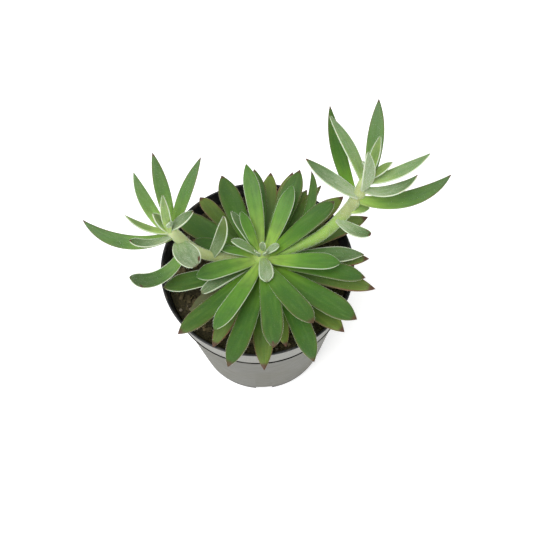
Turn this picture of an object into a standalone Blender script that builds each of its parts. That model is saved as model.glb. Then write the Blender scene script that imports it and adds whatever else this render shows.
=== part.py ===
"""Potted echeveria: a soft-haired leaf rosette with two leafy flowering shoots, in a round nursery pot.

The pot is a thin moulded shell with a flared collar and drain slots in its foot. It is filled with
potting mix, in which the rosette stands by its root stock. The shoots grow out between the
rosette's leaves. The origin is the middle of the pot's foot, +Z is up, and -Y is the front.
"""
import math
import random

import bmesh
import bpy
from mathutils import Matrix, Vector, noise

MM = 0.001

# Pot, a 10.5 cm grower pot. Radii and heights in mm.
POT_HEIGHT = 95.0
RIM_R = 52.5
COLLAR_DEPTH = 19.0
COLLAR_R = 49.4
STEP_R = 48.6
STEP_FALL = 0.6
FOOT_R = 39.8
FOOT_EDGE = 1.0
WALL = 1.3
WALL_TAPER = 0.1
CORNER = 1.0
RIM_ROUND = 0.4
FLOOR = 1.6
PAD_R = 26.6
PAD_TOP_R = 25.0
PAD_ROOT_R = 27.0
PAD_SLOPE = 1.8
FOOT_RING = 3.4
RING_SLOPE = 0.8
RING_RISE = 2.5
RING_TOP = 4.0
POT_STEPS = 60
SLOTS = 6
SLOT_WIDTH = 10.0
SLOT_HEIGHT = 4.6
SLOT_DEPTH = 8.0
SLOT_OVERCUT = 1.0
PLASTIC_GREY = (0.36, 0.36, 0.33)

# Potting mix
CLEAR = 0.32
PAD_CLEAR = 0.2
SOIL_DROP = 9.0
SOIL_RELIEF = 1.2
HUMP_SIZE = 9.0
LUMP_SIZE = 4.0
SOIL_STEPS = 36
SOIL_EDGE_R = 49.0
SOIL_RINGS = (0.0, 6.0, 12.0, 18.0, 24.0, 30.0, 36.0, 42.0, SOIL_EDGE_R)
CHIPS = 18
CHIP_SEED = 7
CHIP_TURN = 137.5
CHIPS_FROM_R = 16.0
CHIPS_TO_R = 43.0
CHIP_LENGTH = (5.0, 9.0)
CHIP_WIDTH = (2.6, 4.6)
CHIP_THICK = (1.8, 2.6)
CHIP_TILT = 0.3
CHIP_LIFT = 0.2
PEAT_BROWN = (0.045, 0.030, 0.020)

# Rosette: the axis of its stem, and the stem's radius at each height
CROWN_X = 2.6
CROWN_Y = 0.5
STEM = ((1.6, 52.0), (4.6, 62.0), (5.2, 66.0), (5.2, 85.0), (6.8, 90.0), (7.0, 97.0),
        (6.0, 102.0), (3.6, 106.0), (1.2, 108.0))
STEM_END = 0.5
STEM_STEPS = 14
ROSETTE_GREEN = (0.10, 0.26, 0.05)

# A leaf rises at one pitch from the stem and ends at another: base pitch and tip pitch in degrees,
# height of the base above the pot's rim, distance of the base from the axis, thickness, all in mm.
TIERS = {
    "heart": (80, 68, 12.0, 1.6, 1.8),
    "young": (68, 45, 11.5, 2.2, 2.2),
    "inner": (58, 30, 10.5, 3.0, 2.6),
    "upper": (42, 8, 8.0, 4.2, 3.4),
    "middle": (27, 3, 4.5, 5.0, 3.4),
    "lower": (13, 1, 1.0, 5.4, 3.2),
    "swept": (24, -56, 4.5, 5.0, 2.6),
    "withered": (5, 0, -1.5, 5.4, 1.6),
}
LEAN = 5.0

# Rosette leaves: heading in degrees round the stem (0 is +X, 90 is +Y), length and greatest width in
# mm, the degrees by which the leaf stands above its tier, the sideways roll of its bend, outline.
ROSETTE_LEAVES = {
    "heart": ((230, 9, 3.5, 0, 0, "pointed"), (66, 7, 3.5, 0, 0, "pointed"),
              (320, 6, 3.0, 0, 0, "pointed")),
    "young": ((0, 11, 4.5, -9, 0, "pointed"), (182, 21, 5.5, -5, 5, "pointed")),
    "inner": ((127, 24.5, 6.0, 0, 19, "pointed"), (137, 27, 5.0, -4, 18, "pointed"),
              (282, 22, 7.6, -10, 26, "broad")),
    "upper": ((15, 45.5, 11.0, -2, -42, "broad"), (50, 38.5, 9.0, 0, -36, "pointed"),
              (93, 47, 8.8, 0, -16, "pointed"), (178, 20, 5.0, 3, 0, "pointed"),
              (214, 36.5, 10.6, -2, 26, "broad"), (252, 54, 9.3, -2, 32, "blunt"),
              (279, 59.5, 11.0, -1, 18, "blunt"), (285, 54.5, 11.3, -1, -42, "blunt"),
              (330, 42.5, 10.5, -2, -38, "broad")),
    "middle": ((58, 49, 12.0, 0, -26, "pointed"), (122, 46.5, 12.0, 0, 42, "pointed"),
               (212, 36, 7.5, 4, -24, "round"), (235, 60, 10.3, -1, 44, "broad"),
               (262, 64.5, 10.8, 0, 44, "broad"), (296, 65, 10.8, 0, 32, "broad"),
               (310, 60, 13.1, 0, -38, "broad"), (337, 53, 10.0, 0, -14, "broad")),
    "lower": ((359, 50, 9.6, 4, 24, "pointed"), (358, 52.5, 11.0, -4, 0, "pointed"),
              (20, 58, 11.5, -2, 0, "pointed"), (36, 53, 11.5, 0, 0, "pointed"),
              (50, 50, 6.0, 0, 0, "pointed"), (56, 43.5, 8.5, 0, 0, "pointed"),
              (69, 50, 9.0, 0, 0, "pointed"), (82, 47.5, 10.0, 0, 0, "pointed"),
              (92, 49.5, 11.0, 0, 0, "pointed"), (133, 45.5, 8.5, 0, 22, "blunt"),
              (151, 50.5, 13.8, 0, 16, "pointed"), (163, 34, 8.0, 6, 0, "pointed"),
              (200, 49.5, 10.8, 0, 44, "broad"), (239, 50.5, 9.3, 0, -24, "pointed"),
              (269, 56.5, 11.0, 0, 0, "pointed"), (282, 45.5, 9.5, 0, 0, "pointed"),
              (312, 54.5, 13.3, 0, -10, "pointed"), (338, 57.5, 11.0, 0, -21, "pointed")),
    "swept": ((18, 56.5, 5.5, -4, -93, "pointed"),),
    "withered": ((213, 41.5, 8.8, 0, 0, "pointed"),),
}

# Shoot stems: the way from the crown out to the tip, as x, y, height above the rim and radius, in mm
RIGHT_STEM = ((7.6, 0.8, 6.0, 2.0), (15.0, 1.6, 10.0, 2.4), (23.0, 3.0, 13.5, 2.7), (34.0, 5.0, 20.0, 2.9),
              (45.0, 10.0, 31.0, 3.0), (51.5, 13.0, 43.0, 3.1), (54.5, 15.5, 52.0, 2.9),
              (56.0, 17.0, 58.5, 1.6))
LEFT_STEM = ((-4.9, -0.2, 6.0, 1.9), (-11.0, -0.6, 9.0, 2.3), (-17.0, -1.0, 11.5, 2.5),
             (-23.0, -1.2, 14.0, 2.6), (-29.5, -0.6, 18.0, 2.7), (-34.0, 0.0, 23.5, 2.8),
             (-38.0, 0.3, 32.0, 2.9), (-41.0, -0.3, 42.0, 2.7), (-41.8, -0.6, 46.5, 1.5))

# Shoot leaves: x, y and height above the rim where the leaf grows from the stem, heading, base pitch,
# tip pitch, the sideways roll of its bend, length, greatest width and outline.
RIGHT_LEAVES = (
    (56.7, 15.9, 54.9, 74, 48, 26, -25, 38.5, 8.3, "lance"),
    (49.7, 14.6, 43.1, 111, 19, 49, -19, 46.0, 7.8, "lance"),
    (54.3, 16.1, 52.6, 127, 59, 37, -18, 38.5, 6.5, "lance"),
    (52.4, 11.8, 45.9, 148, 3, 32, -7, 33.0, 8.1, "lance"),
    (56.7, 16.7, 57.1, 64, 71, 59, 0, 22.0, 4.8, "lance"),
    (54.5, 13.0, 49.8, 113, 103, 64, 4, 28.5, 7.0, "lance"),
    (56.5, 15.4, 53.7, 355, 17, 54, 26, 33.5, 7.3, "lance"),
    (55.2, 13.0, 49.6, 344, -11, 68, 24, 28.5, 6.7, "lance"),
    (52.8, 10.7, 44.2, 350, -15, 43, 60, 51.0, 9.2, "lance"),
    (42.2, 8.0, 31.0, 314, -15, 42, 15, 21.0, 6.9, "round"),
    (48.9, 9.4, 35.9, 4, 13, 2, 0, 9.5, 5.6, "lance"),
    (56.6, 15.8, 55.6, 15, 35, 73, -25, 16.0, 4.5, "lance"),
    (56.5, 16.5, 57.0, 280, 70, 75, 0, 10.0, 3.5, "lance"),
    (56.5, 17.5, 57.5, 180, 72, 65, 0, 11.0, 3.5, "lance"),
)
LEFT_LEAVES = (
    (-40.7, -0.2, 37.1, 195, -20, 48, -74, 54.0, 8.0, "lance"),
    (-42.6, -0.9, 41.1, 133, 11, 54, -30, 34.5, 7.0, "lance"),
    (-40.6, 0.4, 43.1, 102, 34, 51, 5, 38.0, 7.5, "lance"),
    (-39.8, -0.2, 42.6, 56, 51, 34, 2, 39.0, 6.8, "lance"),
    (-41.6, -2.2, 43.6, 83, 89, 73, -1, 27.5, 4.7, "lance"),
    (-42.0, -1.6, 44.0, 162, 62, 71, -1, 15.0, 5.6, "lance"),
    (-42.3, -1.6, 42.5, 182, 10, 58, -29, 23.5, 4.0, "lance"),
    (-41.3, -0.5, 43.9, 6, 39, 54, -8, 19.0, 6.2, "lance"),
    (-41.4, -1.3, 38.4, 211, -11, 52, -34, 22.0, 4.8, "blunt"),
    (-38.1, -1.2, 30.4, 285, 28, -6, -50, 20.0, 12.6, "round"),
    (-36.8, -0.8, 25.6, 245, -58, 79, -34, 41.0, 8.3, "blunt"),
    (-24.2, -1.8, 14.1, 38, 39, 88, 9, 30.0, 7.8, "lance"),
    (-41.5, -0.5, 45.5, 300, 70, 72, 0, 10.0, 3.5, "lance"),
)
SHOOT_LEAF_THICK = 2.2
SHOOT_GREEN = (0.22, 0.38, 0.14)

# A leaf's outline: how far along it is widest, its share of that width at the base, and the two powers
# of the curve that runs from the widest place to the tip.
OUTLINES = {
    "pointed": (0.68, 0.42, 2.1, 1.0),
    "broad": (0.76, 0.42, 2.3, 1.0),
    "blunt": (0.76, 0.42, 2.6, 0.9),
    "lance": (0.47, 0.55, 2.05, 1.0),
    "round": (0.60, 0.50, 2.0, 0.5),
}
LEAF_CHANNEL = 0.11
ABOVE_SHARE = 0.38
TIP_THINNING = 0.45
TIP_CROWDING = 0.25
LEAF_SIDES = 8
LEAF_RINGS = 8
SMALL_LEAF = 26.0
SMALL_LEAF_RINGS = 6
MERGE = 0.00001
SOCKET_CLEAR = 0.35


def material(name, colour, roughness):
    """A plain surface of one colour."""
    made = bpy.data.materials.new(name)
    made.use_nodes = True
    shader = made.node_tree.nodes["Principled BSDF"]
    shader.inputs["Base Color"].default_value = (*colour, 1.0)
    shader.inputs["Roughness"].default_value = roughness
    shader.inputs["Metallic"].default_value = 0.0
    return made


def add_object(name, mesh, collection):
    """An object of its own in a collection."""
    made = bpy.data.objects.new(name, mesh)
    collection.objects.link(made)
    return made


def apply_modifiers(target):
    """Turns an object's evaluated shape into its own mesh."""
    bpy.context.view_layer.update()
    graph = bpy.context.evaluated_depsgraph_get()
    shape = bpy.data.meshes.new_from_object(target.evaluated_get(graph))
    target.modifiers.clear()
    target.data = shape


def turned(name, profile, steps, collection):
    """A solid turned about its own Z from (radius, height) points that end on the axis."""
    mesh = bpy.data.meshes.new(name)
    points = [(radius * MM, 0.0, height * MM) for radius, height in profile]
    mesh.from_pydata(points, [(i, i + 1) for i in range(len(points) - 1)], [])
    made = add_object(name, mesh, collection)
    screw = made.modifiers.new("turn", "SCREW")
    screw.steps = steps
    screw.render_steps = steps
    screw.use_merge_vertices = True
    screw.merge_threshold = MERGE
    apply_modifiers(made)
    return made


def box(name, size, place, turn, collection):
    """A box of a given size, turned and then set with its middle at a place."""
    form = bmesh.new()
    bmesh.ops.create_cube(form, size=1.0)
    set_down = Matrix.Translation(place) @ turn.to_4x4() @ Matrix.Diagonal((*size, 1.0))
    bmesh.ops.transform(form, matrix=set_down, verts=form.verts)
    mesh = bpy.data.meshes.new(name)
    form.to_mesh(mesh)
    form.free()
    return add_object(name, mesh, collection)


def combine(target, group, operation, solver):
    """Joins a collection's solids to a solid, or cuts them from it, and removes them."""
    step = target.modifiers.new(operation.lower(), "BOOLEAN")
    step.operation = operation
    step.operand_type = "COLLECTION"
    step.collection = group
    step.solver = solver
    apply_modifiers(target)
    for used in list(group.objects):
        bpy.data.objects.remove(used)
    bpy.data.collections.remove(group)


def working_group(name):
    """A collection for solids that are joined to a piece or cut from it."""
    group = bpy.data.collections.new(name)
    bpy.context.scene.collection.children.link(group)
    return group


def leaf_width(s, outline):
    """Share of the greatest width at s, from 0 at the base to 1 at the tip."""
    widest, at_base, bulge, ending = OUTLINES[outline]
    if s < widest:
        return at_base + (1.0 - at_base) * math.sin(0.5 * math.pi * s / widest)
    return (1.0 - ((s - widest) / (1.0 - widest)) ** bulge) ** ending


def leaf(name, base, heading, base_pitch, tip_pitch, roll, length, width, outline, thick, collection):
    """A fleshy leaf: a sphere's rings set along an evenly bent midrib, channelled above, keeled below.

    Roll turns the bend sideways, and the blade itself stays level.
    """
    rings = SMALL_LEAF_RINGS if length < SMALL_LEAF else LEAF_RINGS
    form = bmesh.new()
    bmesh.ops.create_uvsphere(form, u_segments=LEAF_SIDES, v_segments=rings, radius=1.0)
    pitch, tilt = math.radians(base_pitch), math.radians(roll)
    out = Vector((math.cos(math.radians(heading)), math.sin(math.radians(heading)), 0.0))
    first = out * math.cos(pitch) + Vector((0.0, 0.0, math.sin(pitch)))
    level = Vector((-out.y, out.x, 0.0))
    upright = first.cross(level)
    across = level * math.cos(tilt) - upright * math.sin(tilt)
    upward = upright * math.cos(tilt) + level * math.sin(tilt)
    turn = math.radians(tip_pitch - base_pitch)
    bend = length / turn
    for vert in form.verts:
        ring = round((1.0 - math.acos(max(-1.0, min(1.0, vert.co.z))) / math.pi) * rings)
        even = max(0.0, (ring - 1) / (rings - 1))
        s = even * (1.0 + TIP_CROWDING * (1.0 - even))
        spot = Vector(base) + (first * math.sin(turn * s) + upward * (1.0 - math.cos(turn * s))) * bend
        if 0 < ring < rings:
            angle = math.atan2(vert.co.y, vert.co.x)
            half = 0.5 * width * leaf_width(s, outline)
            swell = ABOVE_SHARE if vert.co.y > 0.0 else 1.0 - ABOVE_SHARE
            depth = 2.0 * LEAF_CHANNEL * half * math.cos(angle) ** 2
            depth += swell * thick * (1.0 - TIP_THINNING * s * s) * math.sin(angle)
            lifted = upward * math.cos(turn * s) - first * math.sin(turn * s)
            spot += (across * math.cos(tilt) + lifted * math.sin(tilt)) * half * math.cos(angle)
            spot += (lifted * math.cos(tilt) - across * math.sin(tilt)) * depth
        vert.co = spot * MM
    bmesh.ops.triangulate(form, faces=form.faces)
    bmesh.ops.recalc_face_normals(form, faces=form.faces)
    mesh = bpy.data.meshes.new(name)
    form.to_mesh(mesh)
    form.free()
    return add_object(name, mesh, collection)


def shoot_stem(name, way, grow, collection):
    """A round stem along a smooth way, thicker by grow all over."""
    curve = bpy.data.curves.new(name, "CURVE")
    curve.dimensions = "3D"
    curve.bevel_depth = MM
    curve.bevel_resolution = 2
    curve.use_fill_caps = True
    line = curve.splines.new("BEZIER")
    line.resolution_u = 2
    line.bezier_points.add(len(way) - 1)
    for point, (x, y, above_rim, radius) in zip(line.bezier_points, way):
        point.co = Vector((x, y, POT_HEIGHT + above_rim)) * MM
        point.radius = radius + grow
        point.handle_left_type = "AUTO"
        point.handle_right_type = "AUTO"
    tube = add_object(name + "_curve", curve, collection)
    bpy.context.view_layer.update()
    graph = bpy.context.evaluated_depsgraph_get()
    mesh = bpy.data.meshes.new_from_object(tube.evaluated_get(graph))
    bpy.data.objects.remove(tube)
    form = bmesh.new()
    form.from_mesh(mesh)
    bmesh.ops.remove_doubles(form, verts=form.verts, dist=MERGE)
    bmesh.ops.triangulate(form, faces=form.faces)
    bmesh.ops.recalc_face_normals(form, faces=form.faces)
    form.to_mesh(mesh)
    form.free()
    return add_object(name, mesh, collection)


def make_pot(collection):
    """The moulded shell: flared collar over a tapered body, raised floor ring, slots in the foot."""
    collar_z = POT_HEIGHT - COLLAR_DEPTH
    inner_foot = FOOT_R - WALL + WALL_TAPER
    inner_rim = RIM_R - WALL - WALL_TAPER
    inside = [(0.0, FLOOR), (PAD_TOP_R, FLOOR), (PAD_ROOT_R, RING_TOP), (inner_foot - CORNER, RING_TOP),
              (inner_foot, RING_TOP + 2.0 * CORNER), (STEP_R - WALL, collar_z - CORNER),
              (COLLAR_R - WALL - WALL_TAPER, collar_z + CORNER), (inner_rim, POT_HEIGHT - RIM_ROUND),
              (inner_rim + RIM_ROUND, POT_HEIGHT)]
    outside = [(RIM_R - RIM_ROUND, POT_HEIGHT), (RIM_R, POT_HEIGHT - RIM_ROUND), (COLLAR_R, collar_z),
               (STEP_R, collar_z - STEP_FALL), (FOOT_R, FOOT_EDGE), (FOOT_R - RIM_ROUND, 0.0)]
    beneath = [(FOOT_R - FOOT_RING, 0.0), (FOOT_R - FOOT_RING - RING_SLOPE, RING_RISE),
               (PAD_R + PAD_SLOPE, RING_RISE), (PAD_R, 0.0), (0.0, 0.0)]
    pot = turned("pot", inside + outside + beneath, POT_STEPS, collection)
    slots = working_group("drain_slots")
    size = Vector((SLOT_DEPTH, SLOT_WIDTH, SLOT_HEIGHT + SLOT_OVERCUT)) * MM
    reach = FOOT_R + 2.0 * SLOT_OVERCUT - SLOT_DEPTH / 2.0
    middle = (SLOT_HEIGHT - SLOT_OVERCUT) / 2.0
    for index in range(SLOTS):
        angle = math.radians(-90.0 + index * 360.0 / SLOTS)
        place = Vector((math.cos(angle) * reach, math.sin(angle) * reach, middle)) * MM
        box(f"slot_{index}", size, place, Matrix.Rotation(angle, 3, "Z"), slots)
    combine(pot, slots, "DIFFERENCE", "EXACT")
    return pot


def soil_height(x, y):
    """Height of the mix's uneven top, in mm."""
    spot = Vector((x, y, 0.0))
    relief = noise.noise(spot / HUMP_SIZE) + 0.5 * noise.noise(spot / LUMP_SIZE)
    return POT_HEIGHT - SOIL_DROP + SOIL_RELIEF * relief


def stem_profile(grow):
    """The root stock and stem, from the top down to the root's end, thicker by grow all over."""
    sides = [(radius + grow, height + grow * (1 if index else -1))
             for index, (radius, height) in enumerate(STEM)]
    return [(0.0, STEM[-1][1] + STEM_END + grow)] + sides[::-1] + [(0.0, STEM[0][1] - grow)]


def make_soil(collection):
    """The potting mix: fills the shell, has a hole for the root stock, and bark chips on top."""
    collar_z = POT_HEIGHT - COLLAR_DEPTH
    top = POT_HEIGHT - SOIL_DROP
    gap = CLEAR + WALL_TAPER
    inner_foot = FOOT_R - WALL - CLEAR
    crown = [(radius, top) for radius in SOIL_RINGS]
    sides = [(COLLAR_R - WALL - gap, collar_z + CORNER), (STEP_R - WALL - CLEAR, collar_z - CORNER),
             (inner_foot, RING_TOP + 2.0 * CORNER + CLEAR), (inner_foot - CORNER, RING_TOP + gap)]
    below = [(PAD_ROOT_R - PAD_CLEAR, RING_TOP + gap), (PAD_TOP_R - PAD_CLEAR, FLOOR + gap),
             (0.0, FLOOR + gap)]
    soil = turned("soil", crown + sides + below, SOIL_STEPS, collection)
    for vert in soil.data.vertices:
        if vert.co.z > (top - CLEAR) * MM:
            vert.co.z = soil_height(vert.co.x / MM, vert.co.y / MM) * MM
    chips = working_group("bark_chips")
    draw = random.Random(CHIP_SEED)
    for index in range(CHIPS):
        angle = math.radians(index * CHIP_TURN)
        radius = CHIPS_FROM_R + (CHIPS_TO_R - CHIPS_FROM_R) * math.sqrt((index + 0.5) / CHIPS)
        x, y = radius * math.cos(angle), radius * math.sin(angle)
        size = [draw.uniform(*span) * MM for span in (CHIP_LENGTH, CHIP_WIDTH, CHIP_THICK)]
        turn = Matrix.Rotation(draw.uniform(0.0, math.pi), 3, "Z")
        tilt = Matrix.Rotation(draw.uniform(-CHIP_TILT, CHIP_TILT), 3, "X")
        place = Vector((x, y, soil_height(x, y) + CHIP_LIFT)) * MM
        box(f"chip_{index}", size, place, turn @ tilt, chips)
    combine(soil, chips, "UNION", "MANIFOLD")
    hole = working_group("root_hole")
    bore = turned("root_bore", stem_profile(CLEAR), STEM_STEPS, hole)
    bore.data.transform(Matrix.Translation((CROWN_X * MM, CROWN_Y * MM, 0.0)))
    combine(soil, hole, "DIFFERENCE", "EXACT")
    return soil


def make_rosette(collection):
    """Root stock, stem and every leaf of the rosette as one body, with room for the two shoots."""
    rosette = turned("rosette", stem_profile(0.0), STEM_STEPS, collection)
    rosette.data.transform(Matrix.Translation((CROWN_X * MM, CROWN_Y * MM, 0.0)))
    leaves = working_group("rosette_leaves")
    for tier, listed in ROSETTE_LEAVES.items():
        base_pitch, tip_pitch, above_rim, offset, thick = TIERS[tier]
        for index, (heading, length, width, above, roll, outline) in enumerate(listed):
            angle = math.radians(heading)
            lift = above + LEAN * math.sin(angle)
            x, y = CROWN_X + offset * math.cos(angle), CROWN_Y + offset * math.sin(angle)
            leaf(f"{tier}_{index}", (x, y, POT_HEIGHT + above_rim), heading, base_pitch + lift,
                 tip_pitch + lift, roll, length, width, outline, thick, leaves)
    combine(rosette, leaves, "UNION", "MANIFOLD")
    sockets = working_group("shoot_sockets")
    shoot_stem("right_socket", RIGHT_STEM, SOCKET_CLEAR, sockets)
    shoot_stem("left_socket", LEFT_STEM, SOCKET_CLEAR, sockets)
    combine(rosette, sockets, "DIFFERENCE", "MANIFOLD")
    return rosette


def make_shoot(name, way, listed, collection):
    """A flowering shoot: its stem and all its leaves as one body."""
    shoot = shoot_stem(name, way, 0.0, collection)
    leaves = working_group(name + "_leaves")
    for index, (x, y, above_rim, *form) in enumerate(listed):
        leaf(f"{name}_{index}", (x, y, POT_HEIGHT + above_rim), *form, SHOOT_LEAF_THICK, leaves)
    combine(shoot, leaves, "UNION", "EXACT")
    return shoot


def finish(target, surface, sharp_deg):
    """Gives a piece its material and smooth round faces."""
    target.data.materials.clear()
    target.data.materials.append(surface)
    target.data.shade_smooth()
    target.data.set_sharp_from_angle(angle=math.radians(sharp_deg))


def main():
    """Builds the five pieces in a collection of their own."""
    for old in list(bpy.data.objects):
        bpy.data.objects.remove(old)
    plant = bpy.data.collections.new("potted_echeveria")
    bpy.context.scene.collection.children.link(plant)
    finish(make_pot(plant), material("pot_plastic", PLASTIC_GREY, 0.45), 40)
    finish(make_soil(plant), material("potting_mix", PEAT_BROWN, 0.95), 30)
    finish(make_rosette(plant), material("rosette_leaf", ROSETTE_GREEN, 0.55), 50)
    shoot_leaf = material("shoot_leaf", SHOOT_GREEN, 0.7)
    finish(make_shoot("right_shoot", RIGHT_STEM, RIGHT_LEAVES, plant), shoot_leaf, 50)
    finish(make_shoot("left_shoot", LEFT_STEM, LEFT_LEAVES, plant), shoot_leaf, 50)


main()
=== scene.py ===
"""Looks of the potted echeveria: pot, potting mix, leaf rosette and two flowering shoots."""
import math
import random

import bmesh
import bpy
import numpy as np
from mathutils import Matrix, Vector, noise


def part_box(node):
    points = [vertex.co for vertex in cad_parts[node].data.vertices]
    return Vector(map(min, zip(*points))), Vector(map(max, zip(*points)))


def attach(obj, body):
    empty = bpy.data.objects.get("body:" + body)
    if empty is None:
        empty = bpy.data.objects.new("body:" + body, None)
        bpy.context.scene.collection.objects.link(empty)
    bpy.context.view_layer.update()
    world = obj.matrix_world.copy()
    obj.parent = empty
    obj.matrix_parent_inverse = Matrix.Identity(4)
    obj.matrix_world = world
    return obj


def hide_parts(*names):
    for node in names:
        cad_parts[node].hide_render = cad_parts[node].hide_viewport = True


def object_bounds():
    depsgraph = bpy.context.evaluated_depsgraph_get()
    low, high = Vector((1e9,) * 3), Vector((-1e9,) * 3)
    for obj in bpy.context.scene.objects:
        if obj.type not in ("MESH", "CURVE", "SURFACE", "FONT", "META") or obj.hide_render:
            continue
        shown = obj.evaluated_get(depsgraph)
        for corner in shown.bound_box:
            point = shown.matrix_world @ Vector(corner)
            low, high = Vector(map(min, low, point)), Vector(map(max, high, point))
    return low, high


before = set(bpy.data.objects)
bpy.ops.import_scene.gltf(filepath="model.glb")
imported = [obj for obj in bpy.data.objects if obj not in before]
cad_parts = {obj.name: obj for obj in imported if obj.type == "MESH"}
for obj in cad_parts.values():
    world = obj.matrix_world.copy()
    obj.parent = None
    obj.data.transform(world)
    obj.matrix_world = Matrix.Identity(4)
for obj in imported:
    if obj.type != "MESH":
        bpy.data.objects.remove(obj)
cad_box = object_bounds()

# Camera
# The plant is looked down on steeply from the front, from half a metre away, with the frame tilted a
# little to one side.
bpy.ops.object.select_all(action="DESELECT")
CAMERA_PLACE = (0.0050, -0.1837, 0.4571)
CAMERA_TILT = math.radians(26.7)
CAMERA_TURN = math.radians(-2.6)
camera_turned = Matrix.Rotation(CAMERA_TILT, 3, "X") @ Matrix.Rotation(CAMERA_TURN, 3, "Z")
bpy.ops.object.camera_add(location=CAMERA_PLACE, rotation=camera_turned.to_euler())
camera = bpy.context.object
camera.data.lens = 50.66
camera.data.sensor_width = 36.0
camera.data.clip_start = 0.01
bpy.context.scene.camera = camera

# Floor and light
# A sheet of white acrylic lit from beneath, as for catalogue pictures, in an even white surround, with
# a wide soft light above and a little in front. It shows no shadow and no edge.
FLOOR_SIZE = 8.0
KEY_FROM = Vector((-0.35, -0.28, 1.0))
KEY_SPREAD = math.radians(38.0)
KEY_POWER = 1.9
SURROUND = 0.60
FLOOR_GLOW = 0.42


def tone(red, green, blue):
    """A colour read off a screen, as the linear values that a shader takes."""
    return (*[(c / 255.0 / 12.92) if c < 11 else ((c / 255.0 + 0.055) / 1.055) ** 2.4
              for c in (red, green, blue)], 1.0)


def add_node(tree, kind, feeds=None, **settings):
    """A shader node: feeds gives each input its value or the socket that it takes it from."""
    made = tree.nodes.new("ShaderNode" + kind)
    for name, value in settings.items():
        setattr(made, name, value)
    for name, value in (feeds or {}).items():
        socket = made.inputs[name]
        if isinstance(value, bpy.types.NodeSocket):
            tree.links.new(value, socket)
        else:
            socket.default_value = value
    return made


def new_material(name, roughness, **shader_values):
    """A material whose shader has its constant values on its own sockets."""
    made = bpy.data.materials.new(name)
    made.use_nodes = True
    shader = made.node_tree.nodes["Principled BSDF"]
    shader.inputs["Roughness"].default_value = roughness
    for socket, value in shader_values.items():
        shader.inputs[socket.replace("_", " ")].default_value = value
    return made, made.node_tree, shader


def mix_colours(tree, mask, under, over, way="MIX"):
    """Lays one colour over another where the mask is 1."""
    made = add_node(tree, "Mix", data_type="RGBA", blend_type=way)
    for identifier, value in (("Factor_Float", mask), ("A_Color", under), ("B_Color", over)):
        socket = next(s for s in made.inputs if s.identifier == identifier)
        if isinstance(value, bpy.types.NodeSocket):
            tree.links.new(value, socket)
        else:
            socket.default_value = value
    return next(s for s in made.outputs if s.identifier == "Result_Color")


def ramp_between(tree, value, low, high, from_value=0.0, to_value=1.0):
    """A mask that rises smoothly from one value to another between low and high."""
    made = add_node(tree, "MapRange", {"Value": value, "From Min": low, "From Max": high,
                                       "To Min": from_value, "To Max": to_value},
                    interpolation_type="SMOOTHSTEP")
    return made.outputs["Result"]


def work_out(tree, operation, first, second=0.0):
    """One step of arithmetic on masks and values."""
    made = add_node(tree, "Math", operation=operation)
    for socket, value in zip(made.inputs, (first, second)):
        if isinstance(value, bpy.types.NodeSocket):
            tree.links.new(value, socket)
        else:
            socket.default_value = value
    return made.outputs["Value"]


bpy.ops.mesh.primitive_plane_add(size=FLOOR_SIZE, location=(0.0, 0.0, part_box("pot")[0].z))
floor = bpy.context.object
floor.name = "light_table"
floor_paint, tree, shader = new_material("lit_acrylic", 0.6, Specular_IOR_Level=0.2,
                                         Emission_Color=(1.0, 1.0, 1.0, 1.0), Emission_Strength=FLOOR_GLOW)
coords = add_node(tree, "TexCoord")
cloud = add_node(tree, "TexNoise", {"Vector": coords.outputs["Object"], "Scale": 9.0, "Detail": 3.0})
tree.links.new(mix_colours(tree, cloud.outputs["Fac"], tone(250, 250, 250), tone(253, 253, 253)),
               shader.inputs["Base Color"])
floor.data.materials.append(floor_paint)

bpy.ops.object.light_add(type="SUN", location=KEY_FROM, rotation=(-KEY_FROM).to_track_quat("-Z", "Y").to_euler())
key_light = bpy.context.object
key_light.name = "key_light"
key_light.data.angle = KEY_SPREAD
key_light.data.energy = KEY_POWER

world = bpy.data.worlds.new("surround")
bpy.context.scene.world = world
world.use_nodes = True
world.node_tree.nodes["Background"].inputs["Color"].default_value = (1.0, 1.0, 1.0, 1.0)
world.node_tree.nodes["Background"].inputs["Strength"].default_value = SURROUND
bpy.context.scene.view_settings.view_transform = "Standard"

# Pot
# A thin-walled grower's pot, deep-drawn from a two-layer plastic sheet: black inside and at the cut
# rim, warm grey outside. The collar steps out over the tapered body and ends in a thin bead, painted
# near-black. The foot has drain slots.
MM = 0.001
POT_FOOT, POT_TOP = (corner.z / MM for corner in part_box("pot"))
RIM_R = (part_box("pot")[1].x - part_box("pot")[0].x) / 2.0 / MM
COLLAR_DEPTH = 19.0
COLLAR_R = 49.4
STEP_R = 48.6
BEAD_R = 49.85
BEAD_HEIGHTS = (-1.5, -1.1, -0.4, -0.3)
BEAD_PAINT = (-1.75, 0.0)
FOOT_R = 39.8
WALL = 1.3
FLOOR = 1.6
PAD_R = 26.6
FOOT_RING = 3.4
RING_RISE = 2.5
POT_SIDES = 144
EDGE_ROUND = 0.22
SLOTS = 6
SLOT_SIZE = (8.0, 10.0, 5.6)
SLOT_TOP = 4.6
POT_GREY = tone(106, 106, 99)
POT_BEIGE = tone(103, 102, 92)
POT_WORN = tone(156, 156, 151)
POT_LINE = tone(24, 24, 23)
SHEET_BLACK = tone(30, 31, 35)


def only(target):
    """Makes one object the only selected one, and the active one."""
    bpy.ops.object.select_all(action="DESELECT")
    target.select_set(True)
    bpy.context.view_layer.objects.active = target


def apply_all(target):
    """Applies an object's modifiers, first to last."""
    only(target)
    for step in list(target.modifiers):
        bpy.ops.object.modifier_apply(modifier=step.name)


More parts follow.
